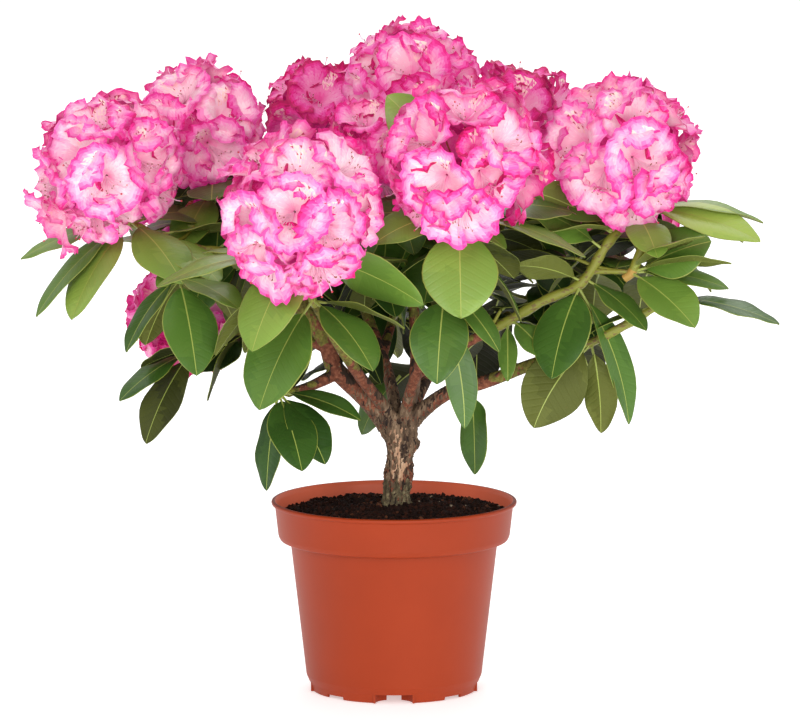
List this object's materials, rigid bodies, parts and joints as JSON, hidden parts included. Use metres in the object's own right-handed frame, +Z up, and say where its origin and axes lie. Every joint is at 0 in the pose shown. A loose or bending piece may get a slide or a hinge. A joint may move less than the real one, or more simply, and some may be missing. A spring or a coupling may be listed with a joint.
{
  "type": "potted rhododendron",
  "caption": "Rhododendron shrub in bloom in a round plastic nursery pot: short gnarled trunk, forked boughs, elliptic leaves and ball-shaped trusses of ruffled pink flowers.",
  "frame": {"origin": "on the ground under the pot, at the pot's axis", "axes": "+Z up along the pot's axis, +X to the right as seen by the viewer, +Y away from the viewer"},
  "size_m": [0.7341, 0.5605, 0.6556],
  "materials": {
    "pot_plastic": "satin terracotta-coloured moulded plastic",
    "potting_soil": "dark crumbly moist compost",
    "bark": "rough flaking grey-brown bark with pale peeled strips",
    "leaf": "leathery glossy green leaf blade",
    "blossom": "thin pink petals, paler towards the throat"
  },
  "bodies": {
    "root": {"pot": "pot_plastic", "soil": "potting_soil", "trunk": "bark", "bough_left": "bark", "bough_right": "bark", "bough_front": "bark", "bough_front_left": "bark", "bough_centre": "bark", "bough_right_upper": "bark", "bough_back": "bark", "bough_back_mid": "bark", "bough_back_right": "bark", "bough_back_far": "bark", "bough_left_back": "bark", "bough_left_rear": "bark", "bough_left_low": "bark", "bough_left_far": "bark", "mass_left": "blossom", "mass_left_back": "blossom", "mass_left_low": "blossom", "mass_low_sprig": "leaf", "mass_front_left": "blossom", "mass_top": "blossom", "mass_front": "blossom", "mass_back_right": "blossom", "mass_right": "blossom", "mass_right_low": "leaf", "mass_back_far": "blossom", "mass_back_left": "blossom", "mass_back": "blossom", "mass_left_rear": "blossom"}
  },
  "joints": []
}
